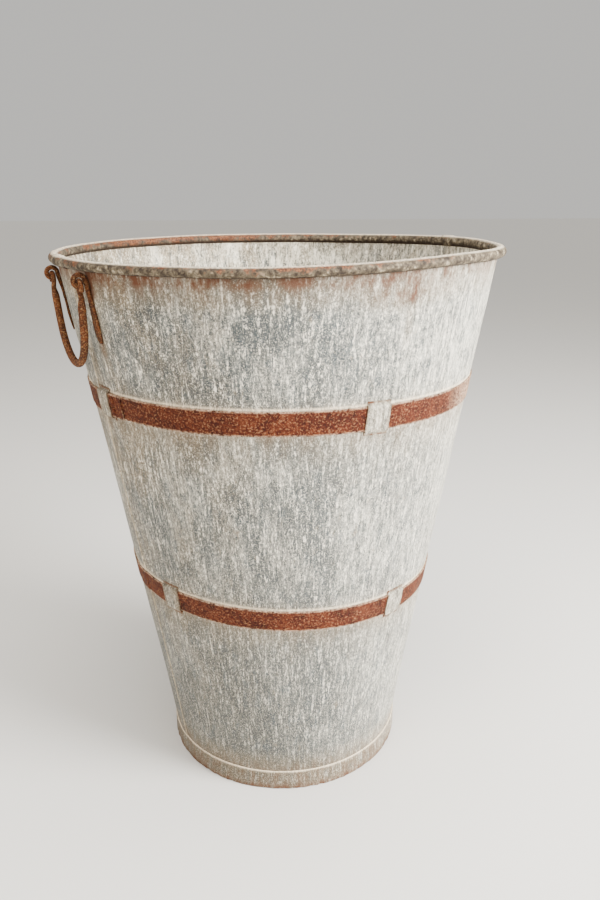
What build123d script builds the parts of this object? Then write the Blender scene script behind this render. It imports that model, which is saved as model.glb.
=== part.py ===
from build123d import *

import os
from math import acos, atan, atan2, cos, degrees, hypot, radians, sin, sqrt

# Tall tapered florist bucket in galvanised sheet, standing on the plane Z = 0 with its axis on Z.
# An azimuth is measured in degrees round the axis, from the front (-Y) towards the right (+X).

# Driving dimensions, in millimetres and degrees
rim_radius = 250.0  # over the rolled bead
height = 627.0  # floor to the top of the bead
foot_radius = 142.0  # outside of the wall cone where it would meet the floor
wall_bottom = 4.0  # lower edge of the wall sheets
sheet = 1.0  # galvanised sheet
seat = 0.05  # play between faces that lie on each other
joint = 0.05  # half the gap between two ends that butt
bead_radius = 6.25  # rolled rim, outside of the roll
wire_radius = 5.0  # iron wire inside the roll
overhang = 2.5  # how far the bead's centre stands outside the wall's outer face

front_sheet_start = -61.8  # the front sheet's two ends, which lie inside the back sheet
front_sheet_end = 118.0
seam_lap = 5.4  # how far the back sheet reaches over each end of the front sheet
seam_joggle = 2.6  # stretch of the back sheet, beyond the seam, that is two sheets thick
bead_sleeve = 2.4  # how far the front sheet's bead laps over the back sheet's

base_height = 18.0  # rim of the base disc above the floor
base_crown = 5.0
base_flange = 12.0
foot_band_height = 25.0
foot_band_sheet = 1.4
foot_band_start = 150.0
foot_band_lap = 9.0
foot_band_joggle = 0.6  # stretch where the band steps out over its own end

hoop_width = 25.0
hoop_thickness = 1.8
upper_hoop_bottom = 460.0
upper_hoop_start = -52.0
upper_hoop_lap = 7.8
upper_rivet_azimuth = -48.3
lower_hoop_bottom = 235.5
lower_hoop_tilt = 2.47  # the left side sits higher
lower_hoop_start = 163.0
lower_hoop_lap = 10.0
lower_rivet_azimuth = 168.0
hoop_rivet_spacing = 11.0
hoop_rivet_shank = 2.1
hoop_rivet_head = 4.2
hoop_rivet_crown = 2.0
hoop_joggle = 0.35
hoop_past_seam = 1.0  # how far a hoop stays lifted beyond a seam
hoop_lap_rise = 1.5  # where a hoop's outer end lifts, before its inner end

keeper_width = 25.0
keeper_sheet = 1.0
keeper_flange = 3.5
upper_keeper_play = 0.3  # room above and below the hoop
lower_keeper_play = 0.9
upper_keepers = [-52.9, 26.0, 106.0, 214.0]
lower_keepers = [-40.6, 43.8, 135.0, 228.0]

handles = {"left": (-47.0, -74.0), "right": (106.0, 133.0)}  # azimuths of the front and back strap eyes
eye_height = 597.0
eye_radius = 5.5  # centre line of the ring
eye_rod = 2.5
eye_standoff = 8.25  # ring centre out from the wall
tail_length = 60.0  # below the ring's centre
tail_width = 7.6
tail_thickness = 3.0
tail_point = 14.0  # length that narrows to the tip
tail_tip_width = 1.6
tail_tip_thickness = 1.4
neck_length = 24.0  # where the tail starts to narrow towards the ring
neck_bend = 14.0  # where it leaves the wall, and neck_root where it meets the ring
neck_root = 3.0
neck_width = 5.2
neck_top = 2.0  # the tail's upper end, above the ring's centre
neck_into_ring = 1.2
strap_rivet_heights = [556.0, 574.0]
strap_rivet_head = 3.0
strap_rivet_shank = 2.0
strap_rivet_sink = 1.2
strap_rivet_peen = 1.1

bail_rod = 3.9
bail_bow_radius = 51.0
bail_bow_depth = 35.2  # bow's centre below the hinge axis
bail_bow_shift = 2.5  # the bow has been pulled towards the front eye
bail_lean = 2.0  # the bail is set this far in towards the wall
bail_taper = 13.0  # length over which the rod thins to its neck
bail_neck = 2.6
bail_into_ring = 0.4

# Worked out from the driving dimensions
bead_z = height - bead_radius
bead_r = rim_radius - bead_radius
taper = (bead_r - overhang - foot_radius) / (bead_z - bead_radius)
wall_top = bead_z - bead_radius + 1.2 * sheet
wall_lean = degrees(atan(taper))
over_seam = sheet + 2 * seat
seams = [(front_sheet_start, front_sheet_start + seam_lap), (front_sheet_end - seam_lap, front_sheet_end)]


def wall_radius(z):
    """Outside radius of the wall cone at a height."""
    return foot_radius + taper * z


def cone_strip(low, high, lift, thickness):
    """Section of a strip that lies along the wall, lifted off its outer face."""
    corners = [
        (wall_radius(low) + lift, low),
        (wall_radius(low) + lift + thickness, low),
        (wall_radius(high) + lift + thickness, high),
        (wall_radius(high) + lift, high),
    ]
    return make_face(Polyline(*corners, close=True))


def sector(section, start, end):
    """Turn a section of radius and height about the bucket's axis, between two azimuths."""
    return revolve(Plane.XZ * section, Axis.Z, end - start).rotate(Axis.Z, start - 90)


def wall_plane(azimuth, z, lift=0.0):
    """Plane on the wall's outer face: x goes round the bucket, y up the wall and z straight out."""
    a = radians(azimuth)
    b = radians(wall_lean)
    radius = wall_radius(z)
    out = Vector(sin(a) * cos(b), -cos(a) * cos(b), -sin(b))
    origin = Vector(radius * sin(a), -radius * cos(a), z) + out * lift
    return Plane(origin=origin, x_dir=(cos(a), sin(a), 0), z_dir=out)


def turned(*points):
    """Solid of revolution about Z from points of radius and height."""
    return revolve(Plane.XZ * make_face(Polyline(*points, close=True)), Axis.Z, 360)


def domed_rivet(shank, head, crown, grip):
    """Rivet along Z: its domed head stands on 0 and its grip runs down."""
    ball = (head**2 + crown**2) / (2 * crown)
    cap = (Pos(0, 0, crown - ball) * Sphere(ball)) & (Pos(0, 0, crown / 2) * Cylinder(head + 1, crown))
    return cap + Pos(0, 0, -grip / 2) * Cylinder(shank, grip)


# Wall sheets with their rolled rim
def bead_section(outer):
    """Rolled edge, open at the underside where the roll's free edge stops short of the wall."""
    ring = Circle(outer) - Circle(outer - sheet)
    slot = Pos(0, -outer) * Rectangle(0.8, 3 * sheet)
    return Pos(bead_r, bead_z) * (ring - slot)


def wall_section():
    wall = cone_strip(wall_bottom, wall_top, -sheet, sheet)
    return wall + bead_section(bead_radius)


def front_sheet():
    body = sector(wall_section(), front_sheet_start, front_sheet_end)
    sleeve = bead_section(bead_radius + seat + sheet)
    collar = Pos(bead_r, bead_z) * (Circle(bead_radius + seat + sheet) - Circle(bead_radius - seat))
    below = Pos(bead_r - bead_radius, bead_z - bead_radius) * Rectangle(2 * bead_radius, bead_radius)
    for end, way in ((front_sheet_start, -1), (front_sheet_end, 1)):
        tip = end + way * bead_sleeve
        root = end - way * bead_sleeve
        body += sector(sleeve - below, min(root, tip), max(root, tip))
        body += sector(collar - below, min(root, end), max(root, end))
    return body


def back_sheet():
    start = front_sheet_end + joint
    end = front_sheet_start + 360 - joint
    body = sector(wall_section(), start, end)
    over = cone_strip(foot_band_height + 1, bead_z - bead_radius - 1.3 * sheet, seat, sheet)
    root = cone_strip(foot_band_height + 1, bead_z - bead_radius - 1.3 * sheet, -sheet / 2, sheet)
    body += sector(over, front_sheet_end - seam_lap, front_sheet_end + seam_joggle)
    body += sector(root, start, front_sheet_end + seam_joggle)
    body += sector(over, end - seam_joggle, front_sheet_start + seam_lap + 360)
    body += sector(root, end - seam_joggle, end)
    return body


# Base and foot
def base_disc():
    """Bottom, pressed slightly upwards, with a flange turned down inside the wall."""
    low = base_height - base_flange
    outside = wall_radius(base_height) - sheet - seat
    foot = wall_radius(low) - sheet - seat

    def crown_point(rim, x):
        ball = (rim**2 + base_crown**2) / (2 * base_crown)
        return base_crown - ball + sqrt(ball**2 - x**2)

    inside = outside - sheet
    outline = [
        Line((foot, low), (outside, base_height)),
        ThreePointArc((outside, base_height), (outside / 2, base_height + crown_point(outside, outside / 2)),
                      (0, base_height + base_crown)),
        Line((0, base_height + base_crown), (0, base_height + base_crown - sheet)),
        ThreePointArc((0, base_height + base_crown - sheet),
                      (inside / 2, base_height - sheet + crown_point(inside, inside / 2)),
                      (inside, base_height - sheet)),
        Line((inside, base_height - sheet), (foot - sheet, low)),
        Line((foot - sheet, low), (foot, low)),
    ]
    return revolve(Plane.XZ * make_face(outline), Axis.Z, 360)


def foot_band():
    """Upright band round the bottom, its outer end stepped out over its inner end."""
    inner = wall_radius(foot_band_height) + seat

    def strip(lift, thickness):
        return Pos(inner + lift + thickness / 2, foot_band_height / 2) * Rectangle(thickness, foot_band_height)

    last = foot_band_start + 360
    rise = last - foot_band_joggle - 2 * joint
    ring = sector(strip(0, foot_band_sheet), foot_band_start, last - 2 * joint)
    ring += sector(strip(0, 2 * foot_band_sheet), rise, rise + foot_band_joggle)
    over = strip(foot_band_sheet + seat, foot_band_sheet)
    ring += sector(over, rise + foot_band_joggle / 2, last + foot_band_lap)
    return ring


# Hoops
def strap_ring(low, high, start, lap):
    """Flat iron once round the wall, up over both sheet seams, its outer end lapped on its inner end."""
    last = start + 360
    stops = []
    for seam_start, seam_end in seams:
        lower = seam_start - hoop_past_seam - (seam_joggle if seam_start == front_sheet_start else 0)
        upper = seam_end + hoop_past_seam + (seam_joggle if seam_end == front_sheet_end else 0)
        while lower < start:
            lower += 360
            upper += 360
        stops.append((lower, upper))
    zones = []
    at = start
    for lower, upper in sorted(stops):
        zones += [(at, lower, seat), (lower, upper, over_seam)]
        at = upper
    rise = last - hoop_lap_rise
    zones += [(at, rise, seat), (rise, last + lap, hoop_thickness + 2 * seat)]
    ring = None
    for index, (left, right, lift) in enumerate(zones):
        piece = sector(cone_strip(low, high, lift, hoop_thickness), left, right)
        ring = piece if ring is None else ring + piece
        if index:
            before = zones[index - 1][2]
            riser = cone_strip(low, high, min(before, lift), hoop_thickness + abs(lift - before))
            ring += sector(riser, left - hoop_joggle, left + hoop_joggle)
    return ring


def hoop_rivets(azimuth, middle):
    """Two rivets, one above the other, through both layers of a hoop's lap."""
    layers = 2 * hoop_thickness + seat
    outside = seat + layers + seat
    rivets = []
    for offset in (-hoop_rivet_spacing / 2, hoop_rivet_spacing / 2):
        plane = wall_plane(azimuth, middle + offset, outside * cos(radians(wall_lean)))
        rivets.append(plane * domed_rivet(hoop_rivet_shank, hoop_rivet_head, hoop_rivet_crown, layers))
    return rivets


def hoop_holes(azimuth, middle):
    holes = []
    for offset in (-hoop_rivet_spacing / 2, hoop_rivet_spacing / 2):
        holes.append(wall_plane(azimuth, middle + offset) * Cylinder(hoop_rivet_shank + seat, 16))
    return holes


def lower_hoop_middle(azimuth):
    """Height of the tilted hoop's middle where it passes an azimuth."""
    radius = wall_radius(lower_hoop_bottom + hoop_width / 2)
    drop = radius * sin(radians(azimuth)) * sin(radians(lower_hoop_tilt))
    return lower_hoop_bottom + hoop_width / 2 - drop


def upper_hoop():
    ring = strap_ring(upper_hoop_bottom, upper_hoop_bottom + hoop_width, upper_hoop_start, upper_hoop_lap)
    for hole in hoop_holes(upper_rivet_azimuth, upper_hoop_bottom + hoop_width / 2):
        ring -= hole
    return ring


def lower_hoop():
    """Cut from a taller band by a tilted slab, so that its edges lie in two parallel planes."""
    room = 14.0  # more than the hoop rises or drops by its tilt
    top = lower_hoop_bottom + hoop_width
    ring = strap_ring(lower_hoop_bottom - room, top + room, lower_hoop_start, lower_hoop_lap)
    slab = Box(500, 500, hoop_width).rotate(Axis.Y, lower_hoop_tilt)
    ring = ring & (Pos(0, 0, lower_hoop_bottom + hoop_width / 2) * slab)
    for hole in hoop_holes(lower_rivet_azimuth, lower_hoop_middle(lower_rivet_azimuth)):
        ring -= hole
    return ring


def keeper(azimuth, middle, room, lift):
    """Hat-section clip: two soldered flanges and a bridge that holds the hoop."""
    low = middle - hoop_width / 2 - room
    high = middle + hoop_width / 2 + room
    t = keeper_sheet
    section = cone_strip(low - t - keeper_flange, low - t / 2, seat, t)
    section += cone_strip(high + t / 2, high + t + keeper_flange, seat, t)
    section += cone_strip(low - t, low, seat, lift + t)
    section += cone_strip(high, high + t, seat, lift + t)
    section += cone_strip(low - t, high + t, lift + seat, t)
    half = degrees(keeper_width / 2 / wall_radius(middle))
    return sector(section, azimuth - half, azimuth + half)


# Handles
def strap_eye(azimuth, hinge_azimuth):
    """Forged eye: a ring square to the hinge axis, and a tail that runs down the wall to a point."""
    a = radians(azimuth)
    frame = Plane(origin=(0, 0, 0), x_dir=(sin(a), -cos(a), 0), z_dir=(-cos(a), -sin(a), 0))
    centre = wall_radius(eye_height) + eye_standoff
    h = radians(hinge_azimuth)
    ring_plane = Plane(origin=frame.from_local_coords((centre, eye_height, 0)), x_dir=(sin(h), -cos(h), 0),
                       z_dir=(-cos(h), -sin(h), 0))
    ring = ring_plane * Torus(eye_radius, eye_rod)
    top = eye_height + neck_top
    foot = eye_height - tail_length
    into_ring = centre - eye_radius + neck_into_ring
    side = [
        (wall_radius(top) + seat, top),
        (wall_radius(foot) + seat, foot),
        (wall_radius(foot) + tail_tip_thickness, foot),
        (wall_radius(foot + tail_point) + tail_thickness, foot + tail_point),
        (wall_radius(eye_height - neck_bend) + tail_thickness, eye_height - neck_bend),
        (into_ring, eye_height - neck_root),
        (into_ring, top),
    ]
    profile = extrude(make_face(Polyline(*side, close=True)), amount=tail_width, both=True)
    edge = [
        (neck_width / 2, top),
        (tail_width / 2, eye_height - neck_length),
        (tail_width / 2, foot + tail_point),
        (tail_tip_width / 2, foot),
    ]
    front = edge + [(-x, z) for x, z in reversed(edge)]
    outline = Plane.ZY * make_face(Polyline(*front, close=True))
    blade = extrude(Pos(centre + tail_length, 0, 0) * outline, amount=2 * tail_length)
    body = frame * (profile & blade) + ring
    for z in strap_rivet_heights:
        body -= wall_plane(azimuth, z) * countersunk(seat)
    return body


def countersunk(play=0.0):
    """Rivet along Z, its head flush with the tail's face and its shank down to the wall's inner face."""
    head = strap_rivet_head + play
    shank = strap_rivet_shank + play
    face = tail_thickness + play
    deep = -sheet - seat - play
    return turned((0, face), (head, face), (shank, face - strap_rivet_sink), (shank, deep), (0, deep))


def strap_rivet():
    """Countersunk rivet with its inner end peened over against the wall."""
    inside = -sheet - seat
    end = inside - strap_rivet_peen
    return countersunk() + turned((0, inside), (strap_rivet_head, inside), (strap_rivet_shank, end), (0, end))


def bail(front_eye, back_eye):
    """Round rod bow with a rolled eye on each end, each linked through a strap eye."""
    azimuth = (front_eye + back_eye) / 2
    half_angle = abs(front_eye - back_eye) / 2
    out = Vector(sin(radians(azimuth)), -cos(radians(azimuth)), 0)
    along = Vector(cos(radians(azimuth)), sin(radians(azimuth)), 0)
    ring_centre = wall_radius(eye_height) + eye_standoff
    hinge = out * (ring_centre * cos(radians(half_angle))) + Vector(0, 0, eye_height)
    reach = ring_centre * sin(radians(half_angle))
    down = (Vector(0, 0, -1) * cos(radians(bail_lean)) - out * sin(radians(bail_lean))).normalized()
    normal = along.cross(down).normalized()

    def place(x, depth):
        return hinge + along * x + down * depth

    centre = (bail_bow_shift, bail_bow_depth)
    ends = []
    body = None
    for way in (-1, 1):
        start = (way * reach, 2 * eye_radius - bail_into_ring)
        offset = (start[0] - centre[0], start[1] - centre[1])
        turn = acos(bail_bow_radius / hypot(*offset))
        angle = atan2(offset[1], offset[0]) - way * -turn
        touch = (centre[0] + bail_bow_radius * cos(angle), centre[1] + bail_bow_radius * sin(angle))
        ends.append(touch)
        run = hypot(touch[0] - start[0], touch[1] - start[1])
        leg = turned((0, 0), (bail_rod, 0), (bail_rod, run - bail_taper), (bail_neck, run), (0, run))
        foot = place(*touch)
        leg = Plane(origin=foot, x_dir=normal, z_dir=place(*start) - foot) * leg
        ring_plane = Plane(origin=place(way * reach, eye_radius), x_dir=along, z_dir=normal)
        ring = ring_plane * Torus(eye_radius, eye_rod)
        body = leg + ring if body is None else body + leg + ring
    lowest = (centre[0], centre[1] + bail_bow_radius)
    path = ThreePointArc(place(*ends[0]), place(*lowest), place(*ends[1]))
    section = Plane(origin=path @ 0, z_dir=path % 0) * Circle(bail_rod)
    return body + sweep(section, path=path)


def save(name, shape):
    if isinstance(shape, list):
        shape = Compound(children=shape)
    export_step(shape, f"parts/{name}.step")


os.makedirs("parts", exist_ok=True)

front = front_sheet()
back = back_sheet()
strap_hole = Cylinder(strap_rivet_shank + seat, 4 * sheet)
for front_eye, back_eye in handles.values():
    for z in strap_rivet_heights:
        front -= wall_plane(front_eye, z) * strap_hole
        back -= wall_plane(back_eye, z) * strap_hole
save("front_wall_sheet", front)
save("back_wall_sheet", back)
save("rim_wire", Pos(0, 0, bead_z) * Torus(bead_r, wire_radius))
save("base_disc", base_disc())
save("foot_band", foot_band())

save("upper_hoop", upper_hoop())
save("lower_hoop", lower_hoop())
save("upper_hoop_rivets", hoop_rivets(upper_rivet_azimuth, upper_hoop_bottom + hoop_width / 2))
save("lower_hoop_rivets", hoop_rivets(lower_rivet_azimuth, lower_hoop_middle(lower_rivet_azimuth)))

plain_lift = hoop_thickness + 2 * seat
lapped_lift = 2 * hoop_thickness + 4 * seat
for number, azimuth in enumerate(upper_keepers, 1):
    lift = lapped_lift if azimuth == upper_keepers[0] else plain_lift
    middle = upper_hoop_bottom + hoop_width / 2
    save(f"upper_keeper_{number}", keeper(azimuth, middle, upper_keeper_play, lift))
for number, azimuth in enumerate(lower_keepers, 1):
    save(f"lower_keeper_{number}", keeper(azimuth, lower_hoop_middle(azimuth), lower_keeper_play, plain_lift))

for side, eyes in handles.items():
    save(f"{side}_bail", bail(*eyes))
    for place, azimuth in zip(("front", "back"), eyes):
        save(f"{side}_{place}_eye", strap_eye(azimuth, sum(eyes) / 2))
    planes = [wall_plane(azimuth, z) for azimuth in eyes for z in strap_rivet_heights]
    save(f"{side}_eye_rivets", [plane * strap_rivet() for plane in planes])
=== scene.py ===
import math

import bmesh
import bpy
import numpy as np
from mathutils import Matrix, Vector, noise


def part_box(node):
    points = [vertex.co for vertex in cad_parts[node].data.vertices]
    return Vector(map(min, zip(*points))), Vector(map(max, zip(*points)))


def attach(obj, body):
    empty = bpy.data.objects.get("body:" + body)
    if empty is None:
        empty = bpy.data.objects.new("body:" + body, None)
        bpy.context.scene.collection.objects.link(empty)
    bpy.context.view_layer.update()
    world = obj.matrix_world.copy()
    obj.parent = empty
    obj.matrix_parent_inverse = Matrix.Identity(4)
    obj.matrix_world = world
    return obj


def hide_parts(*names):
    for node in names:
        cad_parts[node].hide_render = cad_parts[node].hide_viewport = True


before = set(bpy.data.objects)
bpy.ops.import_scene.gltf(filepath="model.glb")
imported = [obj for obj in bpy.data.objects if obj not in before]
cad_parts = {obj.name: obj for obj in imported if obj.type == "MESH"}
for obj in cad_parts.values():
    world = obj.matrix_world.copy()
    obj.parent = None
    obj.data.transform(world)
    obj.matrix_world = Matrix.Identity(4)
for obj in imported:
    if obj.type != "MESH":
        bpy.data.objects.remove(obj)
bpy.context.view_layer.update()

# A tall galvanised florist bucket: two half sheets, a rolled rim, two rusted hoops under soldered
# clips, and two forged handles. Lengths are in millimetres until a mesh is made, azimuths in degrees
# round the axis from the front (-Y) towards the right (+X).

MM = 0.001

# Sizes that the frame gives
wire_low, wire_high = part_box("rim_wire")
wire_radius = (wire_high.z - wire_low.z) / 2 / MM
bead_z = (wire_high.z + wire_low.z) / 2 / MM
bead_r = wire_high.x / MM - wire_radius
wall_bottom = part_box("front_wall_sheet")[0].z / MM
band_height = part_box("foot_band")[1].z / MM
hoop_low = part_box("upper_hoop")[0].z / MM

# Sizes of the sheet and iron work
sheet = 1.0
seat = 0.05
roll_radius = 6.25
overhang = 2.5
foot_radius = 142.0
roll_bottom = bead_z - roll_radius
taper = (bead_r - overhang - foot_radius) / roll_bottom
sag_start = 505.0
front_start, front_end = -61.8, 118.0
seam_lap = 5.4
joggle = 2.6
hoop_width = 25.0
hoop_thickness = 1.8
upper_hoop_middle = hoop_low + hoop_width / 2
lower_hoop_middle = 248.0
lower_hoop_slope = 0.0432
clip_width = 25.0
ring_radius = 5.5
rod_radius = 2.5
eye_height = 597.0
eye_standoff = 8.25
handle_eyes = {"left": (-47.0, -74.0), "right": (106.0, 133.0)}
upper_clips = (-52.9, 26.0, 106.0, 214.0)
lower_clips = (-40.6, 43.8, 135.0, 228.0)
arc_scale = 200.0  # radius at which a pattern's distance round the wall is measured


def wall_radius(z):
    """Outside radius of the plain cone at a height."""
    return foot_radius + taper * z


def tilted(level, azimuth):
    """A height on the wall that slopes as the lower hoop does."""
    return level - lower_hoop_slope * wall_radius(level) * np.sin(np.radians(azimuth))


def smooth(value, low, high):
    t = np.clip((value - low) / (high - low), 0.0, 1.0)
    return t * t * (3 - 2 * t)


def turn_between(a, b):
    """Smallest angle between two azimuths."""
    return np.abs((a - b + 180.0) % 360.0 - 180.0)


# ---- Wear in the shape: the rim has sagged at the front and the sheet is softly dented.
rim_sag = (
    (-180, 0.0), (-150, 0.1), (-130, 1.8), (-110, 4.4), (-90, 6.6), (-60, 10.0), (-35, 12.6), (-10, 13.2),
    (12, 11.6), (25, 9.4), (36, 7.2), (55, 5.2), (82, 4.2), (97, 2.6), (108, 1.3), (121, 0.2), (180, 0.0))


def rim_drop(azimuth):
    """How far the top of the rim has sagged: most at the front left, not at all at the back."""
    places, drops = np.array(rim_sag).T
    spread = (-8.0, -4.0, 0.0, 4.0, 8.0)
    sag = sum(np.interp((azimuth + step + 180.0) % 360.0 - 180.0, places, drops) for step in spread)
    a = np.radians(azimuth)
    return sag / len(spread) + 0.3 * (1.0 + 0.6 * np.sin(5 * a + 1.0) + 0.4 * np.sin(11 * a + 2.4))


def roll_squash(azimuth):
    """Height of the roll as a share of a round one: it has been knocked flatter along the front left."""
    return 1.0 - 0.24 * (0.5 + 0.5 * np.cos(np.radians(azimuth + 20.0))) ** 1.3


def dent_depth(azimuth, z):
    """How far the sheet has been pushed in, worked out point by point."""
    a = np.radians(azimuth)
    depth = np.empty(len(azimuth))
    for i, (angle, height) in enumerate(zip(a, z)):
        spot = Vector((math.sin(angle) * 2.6, -math.cos(angle) * 2.6, height / 95.0))
        wide = noise.noise(spot)
        small = noise.noise(spot * 2.7 + Vector((7.0, 3.0, 1.0)))
        depth[i] = 0.75 * (1 + wide) + 0.25 * (1 + small)
    calm = smooth(z, 18.0, 70.0)
    for eyes in handle_eyes.values():
        for eye in eyes:
            near = 1 - smooth(turn_between(azimuth, eye), 4.0, 9.0)
            calm = calm * (1 - near * smooth(z, 515.0, 533.0))
    return depth * calm


def settle(azimuth, radius, z):
    """New radius and height of points of the sheet work, once sagged and dented."""
    shorter = (1 - roll_squash(azimuth)) * 2 * roll_radius
    drop = (rim_drop(azimuth) - shorter) * smooth(z, sag_start, roll_bottom - 6.0)
    squashed = shorter * np.clip((z - roll_bottom) / (2 * roll_radius), 0.0, 1.0)
    return radius - taper * drop - dent_depth(azimuth, z), z - drop - squashed


# ---- Nodes
def linear(code):
    """An sRGB hex colour as linear RGBA."""
    channels = [int(code[i:i + 2], 16) / 255 for i in (1, 3, 5)]
    return [c / 12.92 if c <= 0.04045 else ((c + 0.055) / 1.055) ** 2.4 for c in channels] + [1.0]


def add(tree, kind, sockets=None, stops=None, **settings):
    """Add a node, set its properties and colour stops, then fill or link its sockets."""
    made = tree.nodes.new(kind)
    for name, value in settings.items():
        setattr(made, name, value)
    if stops:
        ramp = made.color_ramp
        while len(ramp.elements) < len(stops):
            ramp.elements.new(1.0)
        for element, (at, code) in zip(ramp.elements, stops):
            element.position = at
            element.color = linear(code)
    for key, value in (sockets or {}).items():
        if isinstance(value, bpy.types.Node):
            value = next(o for o in value.outputs if o.enabled)
        if isinstance(value, bpy.types.NodeSocket):
            tree.links.new(value, made.inputs[key])
        else:
            made.inputs[key].default_value = value
    return made


FACTOR, COLOUR_A, COLOUR_B = 0, 6, 7  # sockets of a colour Mix node


def new_material(name):
    made = bpy.data.materials.new(name)
    made.use_nodes = True
    made.node_tree.nodes.clear()
    return made, made.node_tree


def patches(tree, place, width, height, detail=3.0, rough=0.55, shift=0.0, curl=0.0):
    """Noise whose patches are this many millimetres wide and high, from 0 to 1."""
    scale = (1 / (width * MM), 1 / (height * MM), 1 / (width * MM))
    sized = add(tree, "ShaderNodeMapping", {"Vector": place, "Scale": scale, "Location": (shift,) * 3})
    return add(tree, "ShaderNodeTexNoise", {"Vector": sized, "Scale": 1.0, "Detail": detail,
        "Roughness": rough, "Distortion": curl}).outputs["Fac"]


def strength(tree, *parts):
    """Values multiplied together. A part is a value as it stands, or a straight ramp: a value, where it
    begins and ends, and what it gives at either end."""
    total = None
    for part in parts:
        if isinstance(part, tuple):
            names = ("Value", "From Min", "From Max", "To Min", "To Max")
            part = add(tree, "ShaderNodeMapRange", dict(zip(names, part)))
        if total is not None:
            part = add(tree, "ShaderNodeMath", {0: total, 1: part}, operation="MULTIPLY")
        total = part
    return total


def coat(tree, under, colour, *parts):
    """A colour laid over another, as strong as its parts say."""
    over = linear(colour) if isinstance(colour, str) else colour
    sockets = {FACTOR: strength(tree, *parts), COLOUR_A: under, COLOUR_B: over}
    return add(tree, "ShaderNodeMix", sockets, data_type="RGBA")


def finish_material(tree, colour, roughness, bump_from, bump_height, gloss, metallic=0.0):
    """Close a material: colour and roughness into the shader, and a bump of this many millimetres. gloss
    is how much of a smooth skin's shine a crumbling one keeps."""
    bump = add(tree, "ShaderNodeBump", {"Height": bump_from, "Distance": bump_height * MM, "Strength": 1.0})
    shader = add(tree, "ShaderNodeBsdfPrincipled", {
        "Base Color": colour, "Roughness": roughness, "Normal": bump, "Metallic": metallic,
        "Specular IOR Level": gloss})
    add(tree, "ShaderNodeOutputMaterial", {"Surface": shader})


def zinc(name, tones, stain_share=0.25, warmth=0.0, metal=0.2, calm=1.0):
    """Hot-dipped zinc on sheet iron gone chalky outdoors: a matt blue-grey skin of zinc carbonate that
    rain has drawn into fine upright flecks, pale where the chalk stands and dark where it has washed
    off, with tan staining where iron sits on it. tones are the skin's dark, middle and light greys."""
    made, tree = new_material(name)
    along = add(tree, "ShaderNodeAttribute", attribute_name="along").outputs["Vector"]
    here = add(tree, "ShaderNodeTexCoord").outputs["Object"]
    space = add(tree, "ShaderNodeSeparateXYZ", {"Vector": here}).outputs

    # slow change of tone over a hand's width
    slow = patches(tree, along, 58, 110, 7.0, 0.66, curl=0.4)
    skin = add(tree, "ShaderNodeValToRGB", {"Fac": slow}, stops=list(zip((0.4, 0.5, 0.6), tones)))
    # paler towards the right-hand side: painted highlight where the window light falls
    skin = coat(tree, skin, "#D8D4C6", (space["X"], 0.03, 0.23, 0.0, 0.7))

    # browner to the left
    left = strength(tree, (space["X"], 0.02, -0.17, 0.14, 0.9))
    leaning = add(tree, "ShaderNodeMath", {0: left, 1: warmth}, operation="ADD", use_clamp=True)
    blotch = patches(tree, along, 34, 95, 5.0, 0.62, shift=3.0)
    skin = coat(tree, skin, "#7D6849", leaning, (blotch, 0.4, 0.62, 0.1, 0.75))

    # darker towards the foot and the left-hand side: painted shade
    low_left_shade = strength(tree, (space["Z"], 0.4, 0.02, 0.0, 0.92), (space["X"], 0.13, -0.02, 0.1, 1.0))
    skin = coat(tree, skin, "#3C3C38", low_left_shade)

    # blue-grey patches a finger wide where the chalk has washed off
    washed = patches(tree, along, 9, 24, 4.0, 0.65, shift=11.0)
    skin = coat(tree, skin, "#4A555A", (washed, 0.53, 0.63, 0.0, 0.62 * calm))

    # flecks two millimetres wide and under ten long, gathered into runs as long as a finger
    fleck = patches(tree, along, 1.7, 4.2, 4.0, 0.75, curl=0.8)
    run = patches(tree, along, 3.2, 24, 4.0, 0.68, shift=5.0, curl=0.7)
    gathered = add(tree, "ShaderNodeMix", {"Factor": 0.45, "A": fleck, "B": run}, data_type="FLOAT")
    fewer_in_the_shade = (low_left_shade, 0.0, 1.0, 1.0, 0.4)
    skin = coat(tree, skin, "#F5EEDC", (gathered, 0.53, 0.6, 0.0, 0.92 * calm), fewer_in_the_shade)
    skin = coat(tree, skin, "#394042", (gathered, 0.5, 0.43, 0.0, 0.88 * calm))

    # grain of the oxide, about a millimetre
    grain = patches(tree, along, 1.2, 1.7, 3.0, 0.75, shift=7.0)
    skin = coat(tree, skin, "#F2E9D4", (grain, 0.55, 0.66, 0.0, 0.75))

    # iron staining: a share of the surface all over, and bands whose strength is a mesh attribute, which on
    # the clips also holds painted shade along their borders
    mottle = patches(tree, along, 11, 26, 5.0, 0.68, shift=9.0)
    spots = strength(tree, (mottle, 0.66 - 0.2 * stain_share, 0.8 - 0.2 * stain_share, 0.0, 0.55))
    band = add(tree, "ShaderNodeAttribute", attribute_name="stain_and_shade").outputs["Fac"]
    banded = strength(tree, band, (mottle, 0.36, 0.58, 0.35, 1.0))
    stained = add(tree, "ShaderNodeMath", {0: spots, 1: banded}, operation="MAXIMUM", use_clamp=True)
    tea = add(tree, "ShaderNodeValToRGB", {"Fac": stained},
              stops=[(0.15, "#8E7856"), (0.55, "#6C5136"), (0.95, "#58341F")])
    skin = coat(tree, skin, tea, stained)

    # cream beside the iron, part deposit and part painted highlight on the upward-facing edges, its
    # strength from the mesh
    cream_and_highlight = add(tree, "ShaderNodeAttribute", attribute_name="cream_and_highlight").outputs["Fac"]
    skin = coat(tree, skin, "#FBE8C8", cream_and_highlight, (fleck, 0.36, 0.56, 0.3, 1.0))

    rough = strength(tree, (gathered, 0.35, 0.65, 0.5, 0.85))
    bare = strength(tree, (gathered, 0.56, 0.4, 0.0, metal))
    relief = add(tree, "ShaderNodeMath", {0: gathered, 1: grain}, operation="ADD")
    finish_material(tree, skin, rough, relief, 0.3, 0.25, bare)
    return made


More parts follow.
